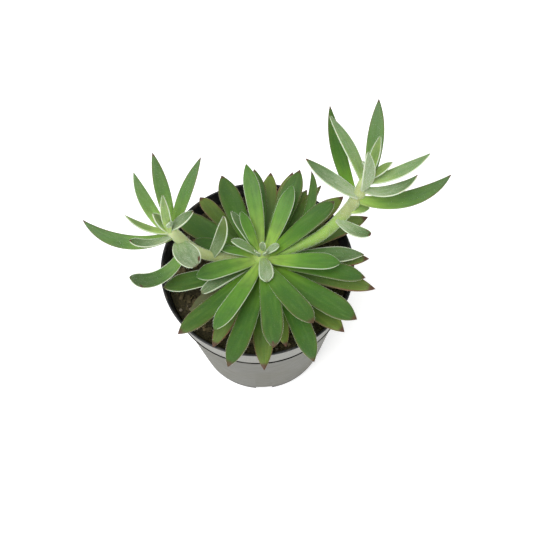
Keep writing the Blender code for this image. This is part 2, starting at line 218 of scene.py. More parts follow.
def turn_wall(name, rings, sides):
    """Draws a round wall out of a disc, ring by ring of (radius, height) in mm, and closes its end."""
    radius, height = rings[0]
    bpy.ops.mesh.primitive_circle_add(vertices=sides, radius=radius * MM, fill_type="NGON",
                                      location=(0.0, 0.0, height * MM))
    wall = bpy.context.object
    wall.name = name
    bpy.ops.object.transform_apply(location=True, rotation=False, scale=False)
    bpy.ops.object.mode_set(mode="EDIT")
    bpy.ops.mesh.select_mode(type="EDGE")
    bpy.ops.mesh.select_all(action="SELECT")
    bpy.ops.mesh.region_to_loop()
    for wider, higher in rings[1:]:
        bpy.ops.mesh.extrude_edges_move(TRANSFORM_OT_translate={"value": (0.0, 0.0, (higher - height) * MM)})
        bpy.ops.transform.resize(value=(wider / radius, wider / radius, 1.0),
                                 center_override=(0.0, 0.0, higher * MM))
        radius, height = wider, higher
    bpy.ops.mesh.edge_face_add()
    bpy.ops.mesh.select_all(action="SELECT")
    bpy.ops.mesh.normals_make_consistent(inside=False)
    bpy.ops.object.mode_set(mode="OBJECT")
    return wall


collar_foot = POT_TOP - COLLAR_DEPTH
pot = turn_wall("pot_shell", (
    (PAD_R, 0.0), (PAD_R + 1.8, RING_RISE), (FOOT_R - FOOT_RING - 0.8, RING_RISE), (FOOT_R - FOOT_RING, 0.0),
    (FOOT_R - 0.4, 0.0), (FOOT_R, 1.0), (STEP_R, collar_foot + BEAD_HEIGHTS[0]),
    (BEAD_R, collar_foot + BEAD_HEIGHTS[1]), (BEAD_R, collar_foot + BEAD_HEIGHTS[2]),
    (COLLAR_R, collar_foot + BEAD_HEIGHTS[3]), (RIM_R, POT_TOP - 0.4), (RIM_R - 0.4, POT_TOP), (RIM_R - WALL + 0.3, POT_TOP),
    (RIM_R - WALL - 0.1, POT_TOP - 0.4), (COLLAR_R - WALL - 0.1, collar_foot + 1.0),
    (STEP_R - WALL, collar_foot - 1.0), (FOOT_R - WALL + 0.1, RING_RISE + 3.5),
    (FOOT_R - WALL - 0.9, RING_RISE + 1.5), (PAD_R + 0.4, RING_RISE + 1.5), (PAD_R - 1.6, FLOOR)), POT_SIDES)
bpy.ops.object.mode_set(mode="EDIT")
bpy.ops.mesh.select_all(action="DESELECT")
bpy.ops.mesh.edges_select_sharp(sharpness=math.radians(25.0))
bpy.ops.mesh.bevel(offset=EDGE_ROUND * MM, segments=2, profile=0.5)
bpy.ops.object.mode_set(mode="OBJECT")

for index in range(SLOTS):
    angle = math.radians(-90.0 + index * 360.0 / SLOTS)
    reach = FOOT_R + 2.0 - SLOT_SIZE[0] / 2.0
    bpy.ops.mesh.primitive_cube_add(
        size=1.0, location=(math.cos(angle) * reach * MM, math.sin(angle) * reach * MM,
                            (SLOT_TOP - SLOT_SIZE[2] / 2.0) * MM),
        rotation=(0.0, 0.0, angle), scale=[side * MM for side in SLOT_SIZE])
    slot_cutter = bpy.context.object
    bpy.ops.object.mode_set(mode="EDIT")
    bpy.ops.mesh.select_all(action="SELECT")
    bpy.ops.mesh.bevel(offset=0.0006, segments=2)
    bpy.ops.object.mode_set(mode="OBJECT")
    cut = pot.modifiers.new("slot", "BOOLEAN")
    cut.operation = "DIFFERENCE"
    cut.solver = "EXACT"
    cut.object = slot_cutter
    apply_all(pot)
    bpy.data.objects.remove(slot_cutter)

# The grey layer of the sheet is on the outside only.
pot_grey, tree, shader = new_material("pot_grey_layer", 0.6, Specular_IOR_Level=0.15)
coords = add_node(tree, "TexCoord")
place = add_node(tree, "SeparateXYZ", {"Vector": coords.outputs["Object"]})
speck = add_node(tree, "TexNoise", {"Vector": coords.outputs["Object"], "Scale": 2400.0, "Detail": 2.0})
bloom = add_node(tree, "TexNoise", {"Vector": coords.outputs["Object"], "Scale": 42.0, "Detail": 4.0})
scuff_way = add_node(tree, "Mapping", {"Vector": coords.outputs["Object"], "Scale": (1.0, 1.0, 9.0)})
scuff = add_node(tree, "TexNoise", {"Vector": scuff_way.outputs["Vector"], "Scale": 160.0, "Detail": 5.0})
colour = mix_colours(tree, ramp_between(tree, bloom.outputs["Fac"], 0.35, 0.7), POT_GREY, POT_BEIGE)
in_collar = ramp_between(tree, place.outputs["Z"], (collar_foot - 0.3) * MM, (collar_foot + 0.3) * MM)
worn = work_out(tree, "MULTIPLY", in_collar, ramp_between(tree, speck.outputs["Fac"], 0.3, 0.62, 0.45, 1.0))
colour = mix_colours(tree, worn, colour, POT_WORN)
rub = ramp_between(tree, scuff.outputs["Fac"], 0.62, 0.78, 0.0, 0.12)
colour = mix_colours(tree, rub, colour, POT_WORN)
# The grey runs darker towards the foot, near-black at the very bottom.
darker_to_foot = ramp_between(tree, place.outputs["Z"], 0.8 * MM, 6.0 * MM, 0.8, 0.0)
colour = mix_colours(tree, darker_to_foot, colour, POT_LINE)
tree.links.new(colour, shader.inputs["Base Color"])
tree.links.new(ramp_between(tree, scuff.outputs["Fac"], 0.3, 0.8, 0.5, 0.7), shader.inputs["Roughness"])
relief = add_node(tree, "Bump", {"Height": speck.outputs["Fac"], "Strength": 0.25, "Distance": 0.0002})
tree.links.new(relief.outputs["Normal"], shader.inputs["Normal"])

pot_black, tree, shader = new_material("pot_black_layer", 0.38, Specular_IOR_Level=0.5)
coords = add_node(tree, "TexCoord")
dust = add_node(tree, "TexNoise", {"Vector": coords.outputs["Object"], "Scale": 240.0, "Detail": 6.0})
colour = mix_colours(tree, ramp_between(tree, dust.outputs["Fac"], 0.52, 0.75, 0.0, 0.6), SHEET_BLACK,
                     tone(92, 84, 76))
tree.links.new(colour, shader.inputs["Base Color"])
tree.links.new(ramp_between(tree, dust.outputs["Fac"], 0.3, 0.7, 0.3, 0.6), shader.inputs["Roughness"])
relief = add_node(tree, "Bump", {"Height": dust.outputs["Fac"], "Strength": 0.3, "Distance": 0.0003})
tree.links.new(relief.outputs["Normal"], shader.inputs["Normal"])

pot_bead, tree, shader = new_material("pot_bead", 0.9, Specular_IOR_Level=0.0)
coords = add_node(tree, "TexCoord")
wear = add_node(tree, "TexNoise", {"Vector": coords.outputs["Object"], "Scale": 90.0, "Detail": 3.0})
tree.links.new(mix_colours(tree, ramp_between(tree, wear.outputs["Fac"], 0.45, 0.8), POT_LINE, POT_GREY),
               shader.inputs["Base Color"])

pot.data.materials.append(pot_grey)
pot.data.materials.append(pot_black)
pot.data.materials.append(pot_bead)
for face in pot.data.polygons:
    outward = face.normal.x * face.center.x + face.normal.y * face.center.y
    beyond = face.center.xy.length
    under = face.normal.z < -0.5 and face.center.z < (RING_RISE + 0.2) * MM
    is_grey = under or (outward > 0.2 * beyond and face.center.z < (POT_TOP - 0.5) * MM)
    from_foot = face.center.z / MM - collar_foot
    in_bead = is_grey and BEAD_PAINT[0] < from_foot < BEAD_PAINT[1]
    face.material_index = 2 if in_bead else 0 if is_grey else 1
only(pot)
bpy.ops.object.shade_smooth_by_angle(angle=math.radians(32.0))
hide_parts("pot")
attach(pot, "root")

# Potting mix
# Peat and composted bark, pressed in by hand to a finger's breadth under the rim, with bark chips,
# broken twigs and crumbs lying loose on it. The root stock goes down through its middle.
SOIL_TOP = POT_TOP - 9.0
SOIL_RELIEF = 1.2
SOIL_EDGE_R = 49.0
CLEAR = 0.32
ROOT_HOLE_R = 5.55
CROWN_X = 2.6
CROWN_Y = 0.5
SOIL_SIDES = 96
SOIL_RING_STEP = 1.5
CHIP_SEED = 7
BIT_SEED = 31
CHIPS = 18
PEAT = tone(44, 41, 29)
PEAT_RED = tone(84, 76, 50)
BARK = tone(66, 60, 40)
BARK_PALE = tone(122, 108, 80)


def soil_height(x, y):
    """Height of the mix's uneven top, in mm."""
    spot = Vector((x, y, 0.0))
    return SOIL_TOP + SOIL_RELIEF * noise.noise(spot / 9.0) + 0.5 * SOIL_RELIEF * noise.noise(spot / 4.0)


inner_foot = FOOT_R - WALL - CLEAR
top_rings = [SOIL_EDGE_R - SOIL_RING_STEP * step for step in range(int((SOIL_EDGE_R - 4.0) / SOIL_RING_STEP))]
soil = turn_wall("potting_mix", [
    (PAD_R - 1.8, FLOOR + CLEAR + 0.1), (PAD_R + 0.2, RING_RISE + 1.9), (inner_foot - 1.0, RING_RISE + 1.9),
    (inner_foot, RING_RISE + 3.8), (STEP_R - WALL - CLEAR, collar_foot - 1.0),
    (COLLAR_R - WALL - 0.1 - CLEAR, collar_foot + 1.0)] + [(radius, SOIL_TOP) for radius in top_rings],
    SOIL_SIDES)
for vert in soil.data.vertices:
    if vert.co.z > (SOIL_TOP - 0.2) * MM:
        vert.co.z = soil_height(vert.co.x / MM, vert.co.y / MM) * MM

# Crumbs: the top's fine relief, deepest away from the wall.
top_group = soil.vertex_groups.new(name="top")
for vert in soil.data.vertices:
    if vert.co.z > (SOIL_TOP - 3.0) * MM:
        top_group.add([vert.index], min(1.0, (SOIL_EDGE_R + 0.5 - vert.co.xy.length / MM) / 1.5), "REPLACE")
crumb_texture = bpy.data.textures.new("crumbs", "CLOUDS")
crumb_texture.noise_scale = 0.0022
crumb_texture.noise_depth = 2
crumbs = soil.modifiers.new("crumbs", "DISPLACE")
crumbs.texture = crumb_texture
crumbs.texture_coords = "LOCAL"
crumbs.vertex_group = "top"
crumbs.direction = "Z"
crumbs.strength = 0.0026
crumbs.mid_level = 0.5
apply_all(soil)
soil.vertex_groups.clear()
bpy.ops.object.shade_smooth_by_angle(angle=math.radians(50.0))


def grain_group():
    """The broken, fibrous look that peat and bark share: a colour mask, a fibre mask and a height."""
    group = bpy.data.node_groups.new("mix_grain", "ShaderNodeTree")
    group.interface.new_socket("Vector", in_out="INPUT", socket_type="NodeSocketVector")
    size = group.interface.new_socket("Size", in_out="INPUT", socket_type="NodeSocketFloat")
    size.default_value = 1.0
    for name in ("Clod", "Fibre", "Height"):
        group.interface.new_socket(name, in_out="OUTPUT", socket_type="NodeSocketFloat")
    come = group.nodes.new("NodeGroupInput")
    go = group.nodes.new("NodeGroupOutput")
    place = add_node(group, "VectorMath", {0: come.outputs["Vector"]}, operation="SCALE")
    group.links.new(come.outputs["Size"], place.inputs["Scale"])
    clod = add_node(group, "TexVoronoi", {"Vector": place.outputs["Vector"], "Scale": 700.0})
    crack = add_node(group, "TexNoise", {"Vector": place.outputs["Vector"], "Scale": 1500.0, "Detail": 6.0})
    fibre_way = add_node(group, "Mapping", {"Vector": place.outputs["Vector"], "Scale": (1.0, 6.0, 1.0)})
    fibre = add_node(group, "TexNoise", {"Vector": fibre_way.outputs["Vector"], "Scale": 500.0,
                                         "Detail": 5.0, "Distortion": 0.6})
    group.links.new(ramp_between(group, clod.outputs["Distance"], 0.1, 0.75), go.inputs["Clod"])
    group.links.new(ramp_between(group, fibre.outputs["Fac"], 0.4, 0.65), go.inputs["Fibre"])
    group.links.new(work_out(group, "ADD", work_out(group, "MULTIPLY", clod.outputs["Distance"], 0.6),
                             crack.outputs["Fac"]), go.inputs["Height"])
    return group


mix_grain = grain_group()


def crumbly_material(name, dark, light, fibre_colour, size):
    """A dry, broken surface of peat or bark."""
    made, tree, shader = new_material(name, 0.92, Specular_IOR_Level=0.2)
    coords = add_node(tree, "TexCoord")
    grain = add_node(tree, "Group", node_tree=mix_grain)
    tree.links.new(coords.outputs["Object"], grain.inputs["Vector"])
    grain.inputs["Size"].default_value = size
    colour = mix_colours(tree, grain.outputs["Clod"], light, dark)
    strands = work_out(tree, "MULTIPLY", grain.outputs["Fibre"], 0.55)
    tree.links.new(mix_colours(tree, strands, colour, fibre_colour), shader.inputs["Base Color"])
    relief = add_node(tree, "Bump", {"Height": grain.outputs["Height"], "Strength": 0.8, "Distance": 0.0006})
    tree.links.new(relief.outputs["Normal"], shader.inputs["Normal"])
    return made


soil.data.materials.append(crumbly_material("peat", PEAT, tone(66, 60, 42), PEAT_RED, 1.0))
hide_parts("soil")
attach(soil, "root")


def join(name, pieces):
    """Makes one object of several."""
    bpy.ops.object.select_all(action="DESELECT")
    for piece in pieces:
        piece.select_set(True)
    bpy.context.view_layer.objects.active = pieces[0]
    bpy.ops.object.join()
    pieces[0].name = name
    pieces[0].data.name = name
    return pieces[0]


def put(template, matrix):
    """A copy of a template with its own mesh, set in place by its mesh."""
    made = template.copy()
    made.data = template.data.copy()
    bpy.context.scene.collection.objects.link(made)
    made.data.transform(matrix)
    return made


# Bark chips: flat splinters of bark, split along the grain and rounded by tumbling.
bpy.ops.mesh.primitive_cube_add(size=1.0, location=(0.0, 0.0, 0.0))
chip_template = bpy.context.object
bpy.ops.object.mode_set(mode="EDIT")
bpy.ops.mesh.select_all(action="SELECT")
bpy.ops.mesh.subdivide(number_cuts=3, fractal=0.35, seed=CHIP_SEED)
bpy.ops.mesh.vertices_smooth(factor=0.35, repeat=1)
bpy.ops.object.mode_set(mode="OBJECT")
bpy.ops.object.shade_smooth_by_angle(angle=math.radians(35.0))
draw = random.Random(CHIP_SEED)
chips = []
for index in range(CHIPS):
    angle = math.radians(index * 137.5)
    radius = 16.0 + (SOIL_EDGE_R - 22.0) * math.sqrt((index + 0.5) / CHIPS)
    x, y = radius * math.cos(angle), radius * math.sin(angle)
    size = (draw.uniform(5.0, 9.0) * MM, draw.uniform(2.6, 4.6) * MM, draw.uniform(1.8, 2.6) * MM)
    turn = Matrix.Rotation(draw.uniform(0.0, math.pi), 3, "Z") @ Matrix.Rotation(draw.uniform(-0.3, 0.3), 3, "X")
    place = Matrix.Translation((x * MM, y * MM, (soil_height(x, y) + 0.4) * MM))
    chips.append(put(chip_template, place @ turn.to_4x4() @ Matrix.Diagonal((*size, 1.0))))
SMALL_CHIPS = 150
for index in range(SMALL_CHIPS):
    angle = draw.uniform(0.0, 2.0 * math.pi)
    radius = math.sqrt(draw.uniform(9.0 ** 2, (SOIL_EDGE_R - 2.5) ** 2))
    x, y = radius * math.cos(angle), radius * math.sin(angle)
    size = (draw.uniform(1.8, 5.0) * MM, draw.uniform(1.2, 2.4) * MM, draw.uniform(0.6, 1.5) * MM)
    turn = Matrix.Rotation(draw.uniform(0.0, math.pi), 3, "Z") @ Matrix.Rotation(draw.uniform(-0.5, 0.5), 3, "X")
    place = Matrix.Translation((x * MM, y * MM, (soil_height(x, y) + 0.5) * MM))
    chips.append(put(chip_template, place @ turn.to_4x4() @ Matrix.Diagonal((*size, 1.0))))
bpy.data.objects.remove(chip_template)
bark = join("bark_chips", chips)
bark.data.materials.append(crumbly_material("bark", BARK, BARK_PALE, PEAT_RED, 0.5))
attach(bark, "root")

# Crumbs and grit: lumps of peat and pale grit, a millimetre or two across.
bpy.ops.mesh.primitive_ico_sphere_add(subdivisions=2, radius=0.5, location=(0.0, 0.0, 0.0))
crumb_template = bpy.context.object
bpy.ops.object.mode_set(mode="EDIT")
bpy.ops.mesh.select_all(action="SELECT")
bpy.ops.transform.vertex_random(offset=0.12, uniform=0.6, seed=BIT_SEED)
bpy.ops.object.mode_set(mode="OBJECT")
draw = random.Random(BIT_SEED)
CRUMBS = 900
GRIT_SHARE = 0.08
lumps, grit = [], []
for index in range(CRUMBS):
    angle = draw.uniform(0.0, 2.0 * math.pi)
    radius = math.sqrt(draw.uniform(8.0 ** 2, (SOIL_EDGE_R - 1.2) ** 2))
    x, y = radius * math.cos(angle), radius * math.sin(angle)
    size = draw.uniform(0.7, 2.3)
    stretch = Matrix.Diagonal((size * MM, size * draw.uniform(0.6, 1.0) * MM, size * draw.uniform(0.5, 0.9) * MM, 1.0))
    turn = Matrix.Rotation(draw.uniform(0.0, math.pi), 4, "Z")
    place = Matrix.Translation((x * MM, y * MM, (soil_height(x, y) + 0.5) * MM))
    (grit if draw.random() < GRIT_SHARE else lumps).append(put(crumb_template, place @ turn @ stretch))
bpy.data.objects.remove(crumb_template)
for name, pieces, colours in (("peat_crumbs", lumps, (PEAT, PEAT_RED, tone(92, 82, 50))),
                              ("grit", grit, (tone(120, 108, 92), tone(168, 160, 146), tone(90, 74, 58)))):
    bits = join(name, pieces)
    bits.data.materials.append(crumbly_material(name, *colours, 1.0))
    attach(bits, "root")

# Twigs: thin broken root and twig ends that stick out of the mix.
bpy.ops.mesh.primitive_cylinder_add(vertices=7, radius=0.5, depth=1.0, location=(0.0, 0.0, 0.0))
twig_template = bpy.context.object
bpy.ops.object.mode_set(mode="EDIT")
bpy.ops.mesh.select_all(action="SELECT")
bpy.ops.mesh.subdivide(number_cuts=3, fractal=0.12, seed=BIT_SEED)
bpy.ops.object.mode_set(mode="OBJECT")
bpy.ops.object.shade_smooth_by_angle(angle=math.radians(50.0))
draw = random.Random(BIT_SEED + 1)
TWIGS = 120
twigs = []
for index in range(TWIGS):
    angle = draw.uniform(0.0, 2.0 * math.pi)
    radius = math.sqrt(draw.uniform(12.0 ** 2, (SOIL_EDGE_R - 4.5) ** 2))
    x, y = radius * math.cos(angle), radius * math.sin(angle)
    thick = draw.uniform(0.25, 0.75) * MM
    stretch = Matrix.Diagonal((thick, thick, draw.uniform(4.0, 9.0) * MM, 1.0))
    turn = Matrix.Rotation(draw.uniform(0.0, math.pi), 4, "Z") @ Matrix.Rotation(draw.uniform(1.15, 1.5), 4, "X")
    place = Matrix.Translation((x * MM, y * MM, (soil_height(x, y) + 1.0) * MM))
    twigs.append(put(twig_template, place @ turn @ stretch))
bpy.data.objects.remove(twig_template)
twig_bundle = join("twigs", twigs)
twig_bundle.data.materials.append(crumbly_material("twig_bark", tone(82, 72, 44), tone(140, 122, 86), PEAT, 1.0))
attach(twig_bundle, "root")

# Rosette
# Fleshy spoon-shaped leaves set spirally on a short stem, each slightly hollowed along its upper face
# and keeled below, covered in short white down that shows as a pale line round the leaf. The young
# leaves in the middle stand up, the old ones lie out over the rim and turn olive with brown tips.
LEAF_SIDES = 24
LEAF_RINGS = 32
ABOVE_SHARE = 0.38
TIP_THINNING = 0.45
GUTTER = math.radians(50.0)
# Outline: where the leaf is widest, its share of that width at the base, two powers of the tip's curve.
OUTLINES = {"pointed": (0.68, 0.42, 2.1, 1.0), "broad": (0.76, 0.42, 2.3, 1.0), "blunt": (0.76, 0.42, 2.6, 0.9),
            "lance": (0.47, 0.55, 2.05, 1.0), "round": (0.60, 0.50, 2.0, 0.5)}


def leaf_width(s, outline):
    """Share of the greatest width at s, from 0 at the base to 1 at the tip."""
    widest, at_base, bulge, ending = OUTLINES[outline]
    if s < widest:
        return at_base + (1.0 - at_base) * math.sin(0.5 * math.pi * s / widest)
    return max(0.0, 1.0 - ((s - widest) / (1.0 - widest)) ** bulge) ** ending


def leaf_template(outline):
    """A leaf one unit long, wide and thick: a ball drawn out, with each ring set to the outline.

    It lies along Z with its upper face to +Y. The shares along and across it are kept on its points.
    """
    bpy.ops.mesh.primitive_uv_sphere_add(segments=LEAF_SIDES, ring_count=LEAF_RINGS, radius=0.5,
                                         location=(0.0, 0.0, 0.0))
    made = bpy.context.object
    made.name = outline + "_leaf"
    mesh = made.data
    rings = [round((1.0 - math.acos(max(-1.0, min(1.0, v.co.z * 2.0))) / math.pi) * LEAF_RINGS)
             for v in mesh.vertices]
    angles = [math.atan2(v.co.y, v.co.x) for v in mesh.vertices]
    # Rings lie closer together towards both ends, where the outline turns.
    shares = [0.5 - 0.5 * math.cos(math.pi * max(0.0, (ring - 1) / (LEAF_RINGS - 1.0)))
              for ring in range(LEAF_RINGS + 1)]
    shares = [0.35 * share + 0.65 * max(0.0, (ring - 1) / (LEAF_RINGS - 1.0))
              for ring, share in enumerate(shares)]
    for name, values in (("along", [shares[ring] for ring in rings]),
                         ("across", [math.cos(a) if 0 < ring < LEAF_RINGS else 0.0
                                     for a, ring in zip(angles, rings)]),
                         ("upper", [math.sin(a) for a in angles])):
        mesh.attributes.new(name, "FLOAT", "POINT").data.foreach_set("value", values)
    bpy.ops.object.mode_set(mode="EDIT")
    bpy.ops.mesh.select_mode(type="VERT")
    for ring in range(LEAF_RINGS + 1):
        form = bmesh.from_edit_mesh(mesh)
        form.verts.ensure_lookup_table()
        for vert, own_ring in zip(form.verts, rings):
            vert.select_set(own_ring == ring)
        form.select_flush_mode()
        bmesh.update_edit_mesh(mesh)
        height = -0.5 * math.cos(math.pi * ring / LEAF_RINGS)
        if 0 < ring < LEAF_RINGS:
            ball_width = math.sin(math.pi * ring / LEAF_RINGS)
            wide = leaf_width(shares[ring], outline) / ball_width
            thick = (1.0 - TIP_THINNING * shares[ring] ** 2) / ball_width
            end = shares[ring] > 0.93
            thick *= math.sqrt(max(0.02, (1.0 - shares[ring]) / 0.07)) if end else 1.0
            bpy.ops.transform.resize(value=(wide, thick, 1.0), center_override=(0.0, 0.0, height))
        bpy.ops.transform.translate(value=(0.0, 0.0, shares[ring] - height))
    for above, share in ((True, ABOVE_SHARE), (False, 1.0 - ABOVE_SHARE)):
        form = bmesh.from_edit_mesh(mesh)
        for vert in form.verts:
            vert.select_set(vert.co.y > 1e-6 if above else vert.co.y < -1e-6)
        form.select_flush_mode()
        bmesh.update_edit_mesh(mesh)
        bpy.ops.transform.resize(value=(1.0, 2.0 * share, 1.0), center_override=(0.0, 0.0, 0.0))
    bpy.ops.object.mode_set(mode="OBJECT")
    only(made)
    bpy.ops.object.shade_smooth()
    return made


leaf_templates = {outline: leaf_template(outline) for outline in OUTLINES}

# How a leaf looks: its age (-1 just out of the bud, 0 fresh, 1 old), the grey down at its base and at
# its tip, the brown of its tip and edges, and the white of its fringe.
FINISHES = {
    "pale": (-0.35, 0.05, 0.10, 0.10, 1.6),
    "light": (0.05, 0.02, 0.34, 0.10, 1.1),
    "bright": (0.00, 0.00, 0.00, 0.05, 1.0),
    "leafy": (0.32, 0.08, 0.16, 0.50, 0.8),
    "green": (0.38, 0.00, 0.00, 0.30, 0.8),
    "edged": (0.50, 0.00, 0.25, 0.10, 1.3),
    # The finish below darkens a leaf to an older green than its own, as painted shade on a leaf in deep shadow, with a
    # pale fringe.
    "rimmed": (0.66, 0.00, 0.00, 0.15, 1.1),
    "deep": (0.62, 0.00, 0.00, 0.40, 0.55),
    "olive": (0.95, 0.00, 0.00, 0.65, 0.25),
    "rusty": (0.90, 0.05, 0.05, 1.00, 0.15),
    "frosted": (0.45, 1.15, 0.08, 0.45, 1.5),
    "dusty": (0.90, 0.80, -0.50, 0.60, 1.7),
    "veiled": (-0.10, 0.50, 0.90, 0.10, 1.6),
    "silvered": (0.45, 0.00, 0.50, 0.10, 1.6),
    "woolly": (0.00, 1.10, 0.75, 0.10, 1.6),
    "grey": (0.50, 0.75, 0.70, 0.20, 1.4),
    "downy": (0.10, 0.50, 0.42, 0.10, 1.5),
    "dry": (1.60, 0.00, 0.00, 1.00, 0.0),
}
NO_SPOT = (-9.0, 0.0)
leaf_draw = random.Random(11)


def bend(target, axis, angle):
    """Bends an object with a modifier and applies it."""
    only(target)
    step = target.modifiers.new("bend", "SIMPLE_DEFORM")
    step.deform_method = "BEND"
    step.deform_axis = axis
    step.angle = angle
    bpy.ops.object.modifier_apply(modifier=step.name)


def set_trait(mesh, name, value):
    """One value for a whole leaf, kept on its points."""
    layer = mesh.attributes.new(name, "FLOAT", "POINT")
    layer.data.foreach_set("value", [value] * len(mesh.vertices))


def grow_leaf(outline, finish, base, heading, base_pitch, tip_pitch, roll, length, width, thick, spot):
    """A leaf copied from its template, sized, hollowed, bent upwards and set on the stem.

    The base is in mm, and the angles are in degrees. Roll turns the bend sideways. Spot is where a
    brown spot lies, as shares along and across.
    """
    made = put(leaf_templates[outline], Matrix.Diagonal((width * MM, thick * MM, length * MM, 1.0)))
    bend(made, "Z", GUTTER)
    made.data.transform(Matrix.Rotation(math.radians(roll), 4, "Z"))
    bend(made, "X", math.radians(tip_pitch - base_pitch))
    made.data.transform(Matrix.Rotation(math.radians(-roll), 4, "Z"))
    pitch, turn = math.radians(base_pitch), math.radians(heading)
    out = Vector((math.cos(turn), math.sin(turn), 0.0))
    first = out * math.cos(pitch) + Vector((0.0, 0.0, math.sin(pitch)))
    level = Vector((-out.y, out.x, 0.0))
    upright = first.cross(level)
    stand = Matrix((level, upright, first)).transposed().to_4x4()
    made.data.transform(Matrix.Translation(Vector(base) * MM) @ stand)
    age, base_frost, tip_frost, rust, fringe = FINISHES[finish]
    for name, value in (("age", age), ("rust", rust), ("fringe", fringe), ("chance", leaf_draw.random()),
                        ("slender", 2.0 * length / width), ("spot_along", spot[0]), ("spot_across", spot[1])):
        set_trait(made.data, name, value)
    along = np.empty(len(made.data.vertices))
    made.data.attributes["along"].data.foreach_get("value", along)
    frost = np.maximum(0.0, base_frost + (tip_frost - base_frost) * along)
    made.data.attributes.new("frost", "FLOAT", "POINT").data.foreach_set("value", frost)
    return made


# Tier: base pitch, tip pitch, height above the rim, distance from the axis, thickness.
TIERS = {
    "heart": (80, 68, 12.0, 1.6, 1.8), "young": (68, 45, 11.5, 2.2, 2.2), "inner": (58, 30, 10.5, 3.0, 2.6),
    "upper": (42, 8, 8.0, 4.2, 3.4), "middle": (27, 3, 4.5, 5.0, 3.4), "lower": (13, 1, 1.0, 5.4, 3.2),
    "swept": (24, -56, 4.5, 5.0, 2.6), "withered": (5, 0, -1.5, 5.4, 1.6),
}
LEAN = 5.0
# Leaf: heading, length, width, degrees above its tier, roll, outline, finish.
ROSETTE_LEAVES = {
    "heart": ((230, 9, 3.5, 0, 0, "pointed", "woolly"), (66, 7, 3.5, 0, 0, "pointed", "woolly"),
              (320, 6, 3.0, 0, 0, "pointed", "woolly")),
    "young": ((0, 11, 4.5, -9, 0, "pointed", "woolly"), (182, 21, 5.5, -5, 5, "pointed", "downy")),
    "inner": ((127, 24.5, 6.0, 0, 19, "pointed", "bright"), (137, 27, 5.0, -4, 18, "pointed", "edged"),
              (282, 22, 7.6, -10, 26, "broad", "veiled")),
    "upper": ((15, 45.5, 11.0, -2, -42, "broad", "green"), (50, 38.5, 9.0, 0, -36, "pointed", "bright"),
              (93, 47, 8.8, 0, -16, "pointed", "bright"), (178, 20, 5.0, 3, 0, "pointed", "bright"),
              (214, 36.5, 10.6, -2, 26, "broad", "bright"), (252, 54, 9.3, -2, 32, "blunt", "bright"),
              (279, 59.5, 11.0, -1, 18, "blunt", "green", (0.96, -0.1)),
              (285, 54.5, 11.3, -1, -42, "blunt", "green"), (330, 42.5, 10.5, -2, -38, "broad", "bright")),
    "middle": ((58, 49, 12.0, 0, -26, "pointed", "deep"), (122, 46.5, 12.0, 0, 42, "pointed", "deep"),
               (212, 36, 7.5, 4, -24, "round", "silvered"), (235, 60, 10.3, -1, 44, "broad", "deep"),
               (262, 64.5, 10.8, 0, 44, "broad", "green"), (296, 65, 10.8, 0, 32, "broad", "green"),
               (310, 60, 13.1, 0, -38, "broad", "green"), (337, 53, 10.0, 0, -14, "broad", "green")),
    "lower": ((359, 50, 9.6, 4, 24, "pointed", "edged"), (358, 52.5, 11.0, -4, 0, "pointed", "rusty"),
              (20, 58, 11.5, -2, 0, "pointed", "rusty"), (36, 53, 11.5, 0, 0, "pointed", "olive"),
              (50, 50, 6.0, 0, 0, "pointed", "olive"), (56, 43.5, 8.5, 0, 0, "pointed", "olive"),
              (69, 50, 9.0, 0, 0, "pointed", "rusty"), (82, 47.5, 10.0, 0, 0, "pointed", "olive"),
              (92, 49.5, 11.0, 0, 0, "pointed", "deep"), (133, 45.5, 8.5, 0, 22, "blunt", "olive"),
              (151, 50.5, 13.8, 0, 16, "pointed", "deep"), (163, 34, 8.0, 6, 0, "pointed", "green"),
              # The leaf at heading 200 wears the darker finish: painted shade.
              (200, 49.5, 10.8, 0, 44, "broad", "rimmed"), (239, 50.5, 9.3, 0, -24, "pointed", "rusty"),
              (269, 56.5, 11.0, 0, 0, "pointed", "olive"), (282, 45.5, 9.5, 0, 0, "pointed", "olive"),
              (312, 54.5, 13.3, 0, -10, "pointed", "olive"), (338, 57.5, 11.0, 0, -21, "pointed", "rusty")),
    "swept": ((18, 56.5, 5.5, -4, -93, "pointed", "deep"),),
    "withered": ((213, 41.5, 8.8, 0, 0, "pointed", "dry"),),
}
rosette_leaves = []
for tier, listed in ROSETTE_LEAVES.items():
    base_pitch, tip_pitch, above_rim, offset, thick = TIERS[tier]
    for heading, length, width, above, roll, outline, finish, *spots in listed:
        angle = math.radians(heading)
        lift = above + LEAN * math.sin(angle)
        base = (CROWN_X + offset * math.cos(angle), CROWN_Y + offset * math.sin(angle), POT_TOP + above_rim)
        rosette_leaves.append(grow_leaf(outline, finish, base, heading, base_pitch + lift, tip_pitch + lift,
                                        roll, length, width, thick, spots[0] if spots else NO_SPOT))

SKIN_PALE = tone(200, 208, 144)
SKIN_WOOL = tone(242, 250, 188)
SKIN_FRESH = (tone(206, 228, 136), tone(160, 196, 88), tone(104, 150, 52), tone(78, 122, 44))
SKIN_GROWN = (tone(148, 186, 72), tone(104, 148, 38), tone(68, 112, 28), tone(60, 92, 28))
SKIN_OLD = (tone(92, 124, 46), tone(76, 106, 32), tone(80, 106, 34), tone(114, 131, 50))
SKIN_DRY = tone(88, 92, 56)
DOWN_GREY = tone(164, 179, 146)
UNDER_PALE = tone(140, 166, 116)
FRINGE_WHITE = tone(216, 228, 200)
TIP_BROWN = tone(88, 61, 43)
EDGE_BROWN = tone(118, 84, 58)
SKIN_TRAITS = {"Along": "along", "Across": "across", "Upper": "upper", "Age": "age", "Frost": "frost",
               "Rust": "rust", "Fringe": "fringe", "Chance": "chance", "Slender": "slender",
               "Spot Along": "spot_along", "Spot Across": "spot_across"}


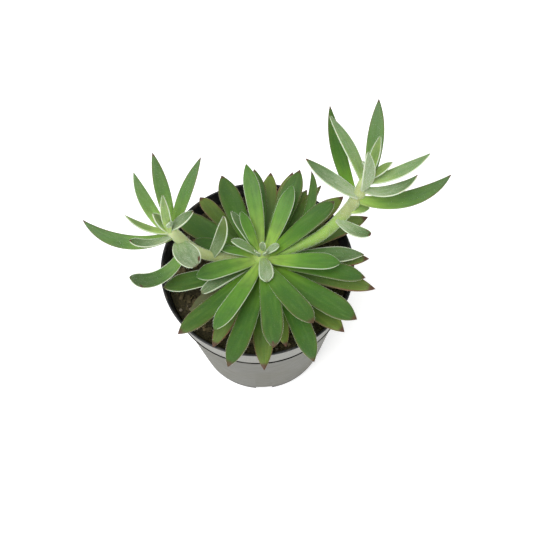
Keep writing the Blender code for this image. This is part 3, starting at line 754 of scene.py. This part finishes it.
def skin_group():
    """The skin of leaf and stem: green by age, paler to the base, grey where the down is thick."""
    group = bpy.data.node_groups.new("plant_skin", "ShaderNodeTree")
    for name in SKIN_TRAITS:
        group.interface.new_socket(name, in_out="INPUT", socket_type="NodeSocketFloat")
    group.interface.new_socket("Vector", in_out="INPUT", socket_type="NodeSocketVector")
    group.interface.new_socket("Colour", in_out="OUTPUT", socket_type="NodeSocketColor")
    group.interface.new_socket("Roughness", in_out="OUTPUT", socket_type="NodeSocketFloat")
    group.interface.new_socket("Height", in_out="OUTPUT", socket_type="NodeSocketFloat")
    come = group.nodes.new("NodeGroupInput").outputs
    go = group.nodes.new("NodeGroupOutput").inputs

    patches = add_node(group, "TexNoise", {"Vector": come["Vector"], "Scale": 95.0, "Detail": 4.0})
    pores = add_node(group, "TexNoise", {"Vector": come["Vector"], "Scale": 1700.0, "Detail": 3.0})
    flow = add_node(group, "CombineXYZ", {
        "X": work_out(group, "MULTIPLY", come["Across"], 2.2),
        "Y": work_out(group, "MULTIPLY", come["Along"], work_out(group, "MULTIPLY", come["Slender"], 0.5)),
        "Z": work_out(group, "MULTIPLY", come["Chance"], 40.0)})
    streaks = add_node(group, "TexNoise", {"Vector": flow.outputs["Vector"], "Scale": 1.6, "Detail": 5.0})
    vein_way = add_node(group, "CombineXYZ", {
        "X": work_out(group, "MULTIPLY", come["Across"], 2.4),
        "Y": work_out(group, "MULTIPLY", come["Along"], work_out(group, "MULTIPLY", come["Slender"], 0.35)),
        "Z": work_out(group, "MULTIPLY", come["Chance"], 90.0)})
    veins = add_node(group, "TexNoise", {"Vector": vein_way.outputs["Vector"], "Scale": 1.3, "Detail": 3.0})
    edge = work_out(group, "ABSOLUTE", come["Across"])

    def down_the_leaf(colours):
        made = add_node(group, "ValToRGB", {"Fac": come["Along"]})
        stops = made.color_ramp.elements
        stops[0].color = colours[0]
        stops[-1].color = colours[-1]
        for place, colour in zip((0.2, 0.5), colours[1:-1]):
            stops.new(place).color = colour
        return made.outputs["Color"]

    fresh = down_the_leaf(SKIN_FRESH)
    grown = down_the_leaf(SKIN_GROWN)
    old = down_the_leaf(SKIN_OLD)
    colour = mix_colours(group, ramp_between(group, come["Age"], 0.0, 0.5), fresh, grown)
    colour = mix_colours(group, ramp_between(group, come["Age"], 0.5, 1.0), colour, old)
    colour = mix_colours(group, ramp_between(group, come["Age"], 0.0, -1.0), colour, SKIN_PALE)
    colour = mix_colours(group, ramp_between(group, come["Age"], -1.0, -2.0), colour, SKIN_WOOL)
    # Light and dark patches, and each leaf a little lighter or darker than the next.
    shade = work_out(group, "ADD", patches.outputs["Fac"], work_out(group, "MULTIPLY", come["Chance"], 0.35))
    colour = mix_colours(group, ramp_between(group, shade, 0.35, 1.05, 0.0, 0.4), colour, tone(150, 176, 96),
                         "SOFT_LIGHT")
    dark = ramp_between(group, patches.outputs["Fac"], 0.55, 0.3, 0.0, 0.28)
    colour = mix_colours(group, dark, colour, tone(46, 84, 40))
    # Painted shade: the hollow down the middle is a little darker green than the swelling sides.
    middle = ramp_between(group, edge, 0.0, 0.45, 0.16, 0.0)
    colour = mix_colours(group, middle, colour, tone(60, 110, 44))
    # Faint veins run down the leaf, darker and lighter than the flesh between them.
    colour = mix_colours(group, ramp_between(group, veins.outputs["Fac"], 0.54, 0.32, 0.0, 0.24), colour,
                         tone(44, 88, 34))
    colour = mix_colours(group, ramp_between(group, veins.outputs["Fac"], 0.50, 0.76, 0.0, 0.10), colour,
                         tone(150, 192, 100))
    under = ramp_between(group, come["Upper"], 0.05, -0.35)
    colour = mix_colours(group, work_out(group, "MULTIPLY", under, 0.6), colour, UNDER_PALE)
    mottle = work_out(group, "MULTIPLY", ramp_between(group, pores.outputs["Fac"], 0.3, 0.7, 0.8, 1.0),
                      ramp_between(group, streaks.outputs["Fac"], 0.38, 0.62, 0.72, 1.1))
    frost = work_out(group, "MINIMUM", work_out(group, "MULTIPLY", come["Frost"], mottle), 1.0)
    colour = mix_colours(group, frost, colour, DOWN_GREY)
    colour = mix_colours(group, ramp_between(group, pores.outputs["Fac"], 0.5, 0.8, 0.0, 0.06), colour,
                         FRINGE_WHITE)
    # Old leaves dry from the tip and along the edge.
    near_edge = work_out(group, "MULTIPLY", ramp_between(group, edge, 0.84, 0.97), come["Rust"])
    near_tip = ramp_between(group, come["Along"], 0.45, 0.8, 0.3, 1.0)
    colour = mix_colours(group, work_out(group, "MULTIPLY", near_edge, near_tip), colour, EDGE_BROWN)
    reach = work_out(group, "ADD", come["Along"], work_out(group, "MULTIPLY", patches.outputs["Fac"], 0.05))
    reach = work_out(group, "ADD", reach, work_out(group, "MULTIPLY", come["Rust"], 0.04))
    tip = work_out(group, "MULTIPLY", ramp_between(group, reach, 0.975, 1.02),
                   ramp_between(group, come["Rust"], 0.0, 0.4, 0.2, 1.0))
    colour = mix_colours(group, tip, colour, TIP_BROWN)
    colour = mix_colours(group, ramp_between(group, come["Age"], 1.1, 1.5), colour, SKIN_DRY)
    # A healed brown spot, where the leaf has one.
    far_along = work_out(group, "MULTIPLY", work_out(group, "SUBTRACT", come["Along"], come["Spot Along"]),
                         come["Slender"])
    far_across = work_out(group, "SUBTRACT", come["Across"], come["Spot Across"])
    far = work_out(group, "SQRT", work_out(group, "ADD", work_out(group, "POWER", far_along, 2.0),
                                           work_out(group, "POWER", far_across, 2.0)))
    ragged = work_out(group, "ADD", far, work_out(group, "MULTIPLY", streaks.outputs["Fac"], 0.3))
    colour = mix_colours(group, ramp_between(group, ragged, 0.42, 0.28), colour, TIP_BROWN)
    to_tip = ramp_between(group, come["Along"], 0.1, 0.6, 0.35, 1.0)
    rim = work_out(group, "ADD", edge, work_out(group, "MULTIPLY", come["Fringe"], 0.1))
    pale_edge = work_out(group, "MULTIPLY", ramp_between(group, rim, 1.065, 1.095), come["Fringe"])
    pale_edge = work_out(group, "MULTIPLY", pale_edge, to_tip)
    colour = mix_colours(group, pale_edge, colour, FRINGE_WHITE)
    group.links.new(colour, go["Colour"])
    group.links.new(ramp_between(group, come["Frost"], 0.0, 1.0, 0.5, 0.8), go["Roughness"])
    group.links.new(work_out(group, "ADD", pores.outputs["Fac"], patches.outputs["Fac"]), go["Height"])
    return group


plant_skin = skin_group()


def skin_material(name, sheen, relief_strength):
    """Velvety skin: the down's gloss is the shader's own sheen."""
    made, tree, shader = new_material(name, 0.55, Sheen_Weight=sheen, Sheen_Roughness=0.45,
                                      Specular_IOR_Level=0.35, Subsurface_Weight=0.12, Subsurface_Scale=0.002)
    coords = add_node(tree, "TexCoord")
    skin = add_node(tree, "Group", node_tree=plant_skin)
    tree.links.new(coords.outputs["Object"], skin.inputs["Vector"])
    for socket, trait in SKIN_TRAITS.items():
        read = add_node(tree, "Attribute", attribute_name=trait)
        tree.links.new(read.outputs["Fac"], skin.inputs[socket])
    tree.links.new(skin.outputs["Colour"], shader.inputs["Base Color"])
    tree.links.new(skin.outputs["Roughness"], shader.inputs["Roughness"])
    relief = add_node(tree, "Bump", {"Height": skin.outputs["Height"], "Strength": relief_strength,
                                     "Distance": 0.0002})
    tree.links.new(relief.outputs["Normal"], shader.inputs["Normal"])
    return made


# Stem of the rosette: a short woody root stock that swells into the pale green crown.
STEM = ((1.6, 52.0), (4.6, 62.0), (5.2, 66.0), (5.2, 85.0), (6.8, 90.0), (7.0, 97.0), (6.0, 102.0),
        (3.6, 106.0), (1.2, 108.0))
CROWN_SIDES = 36
crown = turn_wall("crown", STEM, CROWN_SIDES)
crown.data.transform(Matrix.Translation((CROWN_X * MM, CROWN_Y * MM, 0.0)))
smooth = crown.modifiers.new("smooth", "SUBSURF")
smooth.levels = 1
smooth.render_levels = 1
apply_all(crown)
bpy.ops.object.shade_smooth()
heights = [(vert.co.z / MM - STEM[0][1]) / (STEM[-1][1] - STEM[0][1]) for vert in crown.data.vertices]
crown.data.attributes.new("along", "FLOAT", "POINT").data.foreach_set("value", [0.6 - 0.6 * h for h in heights])
for name, value in (("across", 0.3), ("upper", 1.0), ("age", -0.3), ("frost", 0.1), ("rust", 0.0),
                    ("fringe", 0.0), ("chance", 0.5), ("slender", 6.0), ("spot_along", NO_SPOT[0]),
                    ("spot_across", 0.0)):
    set_trait(crown.data, name, value)

rosette_skin = skin_material("rosette_skin", 0.06, 0.25)


def fringe_of(leaves, length, spacing, draw):
    """Roots and directions of the hairs along the edges of leaves, as two lists of vectors."""
    roots, ways = [], []
    for leaf in leaves:
        mesh = leaf.data
        count = len(mesh.vertices)
        places = np.empty(count * 3)
        mesh.vertices.foreach_get("co", places)
        places = places.reshape(-1, 3)
        values = {}
        for name in ("along", "across", "fringe"):
            values[name] = np.empty(count)
            mesh.attributes[name].data.foreach_get("value", values[name])
        share = values["fringe"][0]
        if share <= 0.0:
            continue
        lines = {}
        for side in (-1.0, 1.0):
            on_edge = np.flatnonzero(values["across"] * side > 0.999)
            lines[side] = places[on_edge[np.argsort(values["along"][on_edge])]]
        middle = (lines[-1.0] + lines[1.0]) / 2.0
        for side, line in lines.items():
            steps = np.linalg.norm(np.diff(line, axis=0), axis=1)
            reach = np.concatenate([[0.0], np.cumsum(steps)])
            here = np.arange(0.12 * reach[-1], reach[-1], spacing / max(0.25, share))
            here = here + draw.uniform(-0.5, 0.5, len(here)) * spacing
            root = np.stack([np.interp(here, reach, line[:, k]) for k in range(3)], axis=1)
            inner = np.stack([np.interp(here, reach, middle[:, k]) for k in range(3)], axis=1)
            ahead = np.stack([np.interp(here + 0.001, reach, line[:, k]) for k in range(3)], axis=1) - root
            ahead /= np.linalg.norm(ahead, axis=1)[:, None] + 1e-9
            outward = root - inner
            outward /= np.linalg.norm(outward, axis=1)[:, None] + 1e-9
            way = outward + 0.5 * ahead + draw.normal(0.0, 0.28, (len(here), 3))
            way /= np.linalg.norm(way, axis=1)[:, None]
            to_tip = 0.45 + 0.55 * np.minimum(1.0, here / reach[-1] / 0.6)[:, None]
            size = length * draw.uniform(0.6, 1.2, (len(here), 1)) * (0.6 + 0.4 * share) * to_tip
            roots.append(root - outward * 0.0001)
            ways.append(way * size)
    return np.concatenate(roots), np.concatenate(ways)


def down_of(target, length, per_mm2, wanted, draw):
    """Roots and directions of hairs all over a surface, thickest where a trait of the leaf is 1."""
    mesh = target.data
    mesh.calc_loop_triangles()
    count = len(mesh.loop_triangles)
    corners = np.empty(count * 3, np.int32)
    mesh.loop_triangles.foreach_get("vertices", corners)
    corners = corners.reshape(-1, 3)
    places = np.empty(len(mesh.vertices) * 3)
    mesh.vertices.foreach_get("co", places)
    places = places.reshape(-1, 3)
    trait = np.empty(len(mesh.vertices))
    mesh.attributes[wanted].data.foreach_get("value", trait)
    a, b, c = (places[corners[:, k]] for k in range(3))
    normal = np.cross(b - a, c - a)
    area = np.linalg.norm(normal, axis=1) / 2.0
    normal /= np.linalg.norm(normal, axis=1)[:, None] + 1e-15
    weight = area * trait[corners].mean(axis=1)
    total = int(weight.sum() / MM ** 2 * per_mm2)
    chosen = draw.choice(count, total, p=weight / weight.sum())
    u, v = draw.random((2, total, 1))
    over = (u + v) > 1.0
    u, v = np.where(over, 1.0 - u, u), np.where(over, 1.0 - v, v)
    root = a[chosen] + u * (b - a)[chosen] + v * (c - a)[chosen]
    way = normal[chosen] + draw.normal(0.0, 0.45, (total, 3))
    way /= np.linalg.norm(way, axis=1)[:, None]
    return root, way * length * draw.uniform(0.6, 1.2, (total, 1))


def make_hairs(name, roots, ways, thick, material):
    """Thin three-sided needles, each closed, in one object. None leaves the solids' box."""
    ends = roots + ways
    kept = np.all((ends > np.array(cad_box[0])) & (ends < np.array(cad_box[1])), axis=1)
    roots, ways = roots[kept], ways[kept]
    count = len(roots)
    helper = np.where(np.abs(ways[:, 2:3]) < 0.7 * np.linalg.norm(ways, axis=1)[:, None],
                      (0.0, 0.0, 1.0), (1.0, 0.0, 0.0))
    side = np.cross(ways, helper)
    side /= np.linalg.norm(side, axis=1)[:, None] + 1e-15
    other = np.cross(ways, side)
    other /= np.linalg.norm(other, axis=1)[:, None] + 1e-15
    points = np.empty((count, 4, 3))
    for corner in range(3):
        angle = corner * 2.0 * math.pi / 3.0
        points[:, corner] = roots + (side * math.cos(angle) + other * math.sin(angle)) * thick / 2.0
    points[:, 3] = roots + ways
    faces = (np.arange(count)[:, None, None] * 4
             + np.array([[0, 1, 3], [1, 2, 3], [2, 0, 3], [0, 2, 1]])[None]).reshape(-1, 3)
    mesh = bpy.data.meshes.new(name)
    mesh.from_pydata(points.reshape(-1, 3).tolist(), [], faces.tolist())
    mesh.materials.append(material)
    made = bpy.data.objects.new(name, mesh)
    bpy.context.scene.collection.objects.link(made)
    return made


hair_white, tree, shader = new_material("down_white", 0.6, Sheen_Weight=0.3, Specular_IOR_Level=0.3)
coords = add_node(tree, "TexCoord")
tuft = add_node(tree, "TexNoise", {"Vector": coords.outputs["Object"], "Scale": 260.0, "Detail": 2.0})
tree.links.new(mix_colours(tree, tuft.outputs["Fac"], tone(196, 212, 178), tone(242, 248, 234)),
               shader.inputs["Base Color"])

HAIR_LENGTH = 0.55 * MM
HAIR_THICK = 0.085 * MM
HAIR_SPACING = 0.24 * MM
hair_draw = np.random.default_rng(5)
edge_roots, edge_ways = fringe_of(rosette_leaves, HAIR_LENGTH, HAIR_SPACING, hair_draw)
rosette = join("rosette_leaves", [crown] + rosette_leaves)
rosette.data.materials.clear()
rosette.data.materials.append(rosette_skin)
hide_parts("rosette")
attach(rosette, "root")
felt_roots, felt_ways = down_of(rosette, 0.45 * MM, 2.2, "frost", hair_draw)
rosette_down = make_hairs("rosette_down", np.concatenate([edge_roots, felt_roots]),
                          np.concatenate([edge_ways, felt_ways]), HAIR_THICK, hair_white)
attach(rosette_down, "root")

# Flowering shoots
# Two leafy side stems that grow out between the rosette's leaves and turn up: pale, round and woolly,
# with narrow pointed leaves that are greyer than the rosette's and crowd at the tip.
RIGHT_STEM = ((7.6, 0.8, 6.0, 2.0), (15.0, 1.6, 10.0, 2.4), (23.0, 3.0, 13.5, 2.7), (34.0, 5.0, 20.0, 2.9),
              (45.0, 10.0, 31.0, 3.0), (51.5, 13.0, 43.0, 3.1), (54.5, 15.5, 52.0, 2.9),
              (56.0, 17.0, 58.5, 1.6))
LEFT_STEM = ((-4.9, -0.2, 6.0, 1.9), (-11.0, -0.6, 9.0, 2.3), (-17.0, -1.0, 11.5, 2.5),
             (-23.0, -1.2, 14.0, 2.6), (-29.5, -0.6, 18.0, 2.7), (-34.0, 0.0, 23.5, 2.8),
             (-38.0, 0.3, 32.0, 2.9), (-41.0, -0.3, 42.0, 2.7), (-41.8, -0.6, 46.5, 1.5))
# Leaf: base x, y and height above the rim, heading, base pitch, tip pitch, roll, length, width,
# outline, finish.
RIGHT_LEAVES = (
    (56.7, 15.9, 54.9, 74, 48, 26, -25, 38.5, 8.3, "lance", "leafy", NO_SPOT),
    (49.7, 14.6, 43.1, 111, 19, 49, -19, 46.0, 7.8, "lance", "deep", NO_SPOT),
    (54.3, 16.1, 52.6, 127, 59, 37, -18, 38.5, 6.5, "lance", "downy", NO_SPOT),
    (52.4, 11.8, 45.9, 148, 3, 32, -7, 33.0, 8.1, "lance", "frosted", NO_SPOT),
    (56.7, 16.7, 57.1, 64, 71, 59, 0, 22.0, 4.8, "lance", "pale", NO_SPOT),
    (54.5, 13.0, 49.8, 113, 103, 64, 4, 28.5, 7.0, "lance", "woolly", NO_SPOT),
    (56.5, 15.4, 53.7, 355, 17, 54, 26, 33.5, 7.3, "lance", "downy", NO_SPOT),
    (55.2, 13.0, 49.6, 344, -11, 68, 24, 28.5, 6.7, "lance", "frosted", NO_SPOT),
    (52.8, 10.7, 44.2, 350, -15, 43, 60, 51.0, 9.2, "lance", "leafy", NO_SPOT),
    (42.2, 8.0, 31.0, 314, -15, 42, 15, 21.0, 6.9, "round", "frosted", (0.85, 0.79)),
    (48.9, 9.4, 35.9, 4, 13, 2, 0, 9.5, 5.6, "lance", "pale", NO_SPOT),
    (56.6, 15.8, 55.6, 15, 35, 73, -25, 16.0, 4.5, "lance", "pale", NO_SPOT),
    (56.5, 16.5, 57.0, 280, 70, 75, 0, 10.0, 3.5, "lance", "woolly", NO_SPOT),
    (56.5, 17.5, 57.5, 180, 72, 65, 0, 11.0, 3.5, "lance", "woolly", NO_SPOT),
)
LEFT_LEAVES = (
    (-40.7, -0.2, 37.1, 195, -20, 48, -74, 54.0, 8.0, "lance", "leafy", NO_SPOT),
    (-42.6, -0.9, 41.1, 133, 11, 54, -30, 34.5, 7.0, "lance", "light", NO_SPOT),
    (-40.6, 0.4, 43.1, 102, 34, 51, 5, 38.0, 7.5, "lance", "leafy", NO_SPOT),
    (-39.8, -0.2, 42.6, 56, 51, 34, 2, 39.0, 6.8, "lance", "leafy", NO_SPOT),
    (-41.6, -2.2, 43.6, 83, 89, 73, -1, 27.5, 4.7, "lance", "pale", NO_SPOT),
    (-42.0, -1.6, 44.0, 162, 62, 71, -1, 15.0, 5.6, "lance", "pale", NO_SPOT),
    (-42.3, -1.6, 42.5, 182, 10, 58, -29, 23.5, 4.0, "lance", "pale", NO_SPOT),
    (-41.3, -0.5, 43.9, 6, 39, 54, -8, 19.0, 6.2, "lance", "frosted", NO_SPOT),
    (-41.4, -1.3, 38.4, 211, -11, 52, -34, 22.0, 4.8, "blunt", "frosted", NO_SPOT),
    (-38.1, -1.2, 30.4, 285, 28, -6, -50, 20.0, 12.6, "round", "grey", (0.88, 0.82)),
    (-36.8, -0.8, 25.6, 245, -58, 79, -34, 41.0, 8.3, "blunt", "edged", (0.82, 0.81)),
    (-24.2, -1.8, 14.1, 38, 39, 88, 9, 30.0, 7.8, "lance", "dusty", NO_SPOT),
    (-41.5, -0.5, 45.5, 300, 70, 72, 0, 10.0, 3.5, "lance", "woolly", NO_SPOT),
)
SHOOT_LEAF_THICK = 2.2
STEM_SMOOTH = 8
STEM_ROUND = 6


def shoot_stem(name, way, green_from, stem_age, foot_age):
    """A round stem drawn as a curve through its points, made a mesh. It turns greener to its foot."""
    bpy.ops.curve.primitive_bezier_curve_add(location=(0.0, 0.0, 0.0))
    made = bpy.context.object
    made.name = name
    curve = made.data
    curve.bevel_depth = MM
    curve.bevel_resolution = STEM_ROUND
    curve.use_fill_caps = True
    line = curve.splines[0]
    line.resolution_u = STEM_SMOOTH
    line.bezier_points.add(len(way) - len(line.bezier_points))
    for point, (x, y, above_rim, radius) in zip(line.bezier_points, way):
        point.co = Vector((x, y, POT_TOP + above_rim)) * MM
        point.radius = radius
        point.handle_left_type = "AUTO"
        point.handle_right_type = "AUTO"
    only(made)
    bpy.ops.object.convert(target="MESH")
    made = bpy.context.object
    bpy.ops.object.mode_set(mode="EDIT")
    bpy.ops.mesh.select_all(action="SELECT")
    bpy.ops.mesh.remove_doubles(threshold=0.00001)
    bpy.ops.mesh.normals_make_consistent(inside=False)
    bpy.ops.object.mode_set(mode="OBJECT")
    bpy.ops.object.shade_smooth()
    top, foot = POT_TOP + way[-1][2], POT_TOP + way[0][2]
    climb = [0.28 * max(0.0, min(1.0, 1.0 - (vert.co.z / MM - foot) / (top - foot)))
             for vert in made.data.vertices]
    made.data.attributes.new("along", "FLOAT", "POINT").data.foreach_set("value", climb)
    for trait, value in (("across", 0.3), ("upper", 1.0), ("frost", 0.1), ("rust", 0.0), ("fringe", 0.0),
                         ("chance", 0.5), ("slender", 6.0), ("spot_along", NO_SPOT[0]), ("spot_across", 0.0)):
        set_trait(made.data, trait, value)
    ages = np.interp(climb, (0.0, 0.04, green_from, green_from + 0.05), (-2.0, stem_age, stem_age, foot_age))
    made.data.attributes.new("age", "FLOAT", "POINT").data.foreach_set("value", ages)
    return made


shoot_skin = skin_material("shoot_skin", 0.14, 0.3)
# The ages set each stem's colour down its length. The left stem's run paler than the right's, into the woolly white:
# partly its own paler colour, partly painted light against the shade that its leaves cast on it.
for node, way, age_and_painted_light, listed in (("right_shoot", RIGHT_STEM, (0.11, -1.2, 0.0), RIGHT_LEAVES),
                                  ("left_shoot", LEFT_STEM, (0.17, -2.0, -1.0), LEFT_LEAVES)):
    stem = shoot_stem(node + "_stem", way, *age_and_painted_light)
    leaves = []
    for x, y, above_rim, *form, outline, finish, spot in listed:
        leaves.append(grow_leaf(outline, finish, (x, y, POT_TOP + above_rim), *form, SHOOT_LEAF_THICK, spot))
    edge_roots, edge_ways = fringe_of(leaves, HAIR_LENGTH, HAIR_SPACING, hair_draw)
    stem_roots, stem_ways = down_of(stem, 0.6 * MM, 36.0, "frost", hair_draw)
    shoot = join(node + "_leaves", [stem] + leaves)
    shoot.data.materials.clear()
    shoot.data.materials.append(shoot_skin)
    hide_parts(node)
    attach(shoot, "root")
    felt_roots, felt_ways = down_of(shoot, 0.45 * MM, 2.2, "frost", hair_draw)
    shoot_down = make_hairs(node + "_down", np.concatenate([edge_roots, stem_roots, felt_roots]),
                            np.concatenate([edge_ways, stem_ways, felt_ways]), HAIR_THICK, hair_white)
    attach(shoot_down, "root")

for template in leaf_templates.values():
    bpy.data.objects.remove(template)
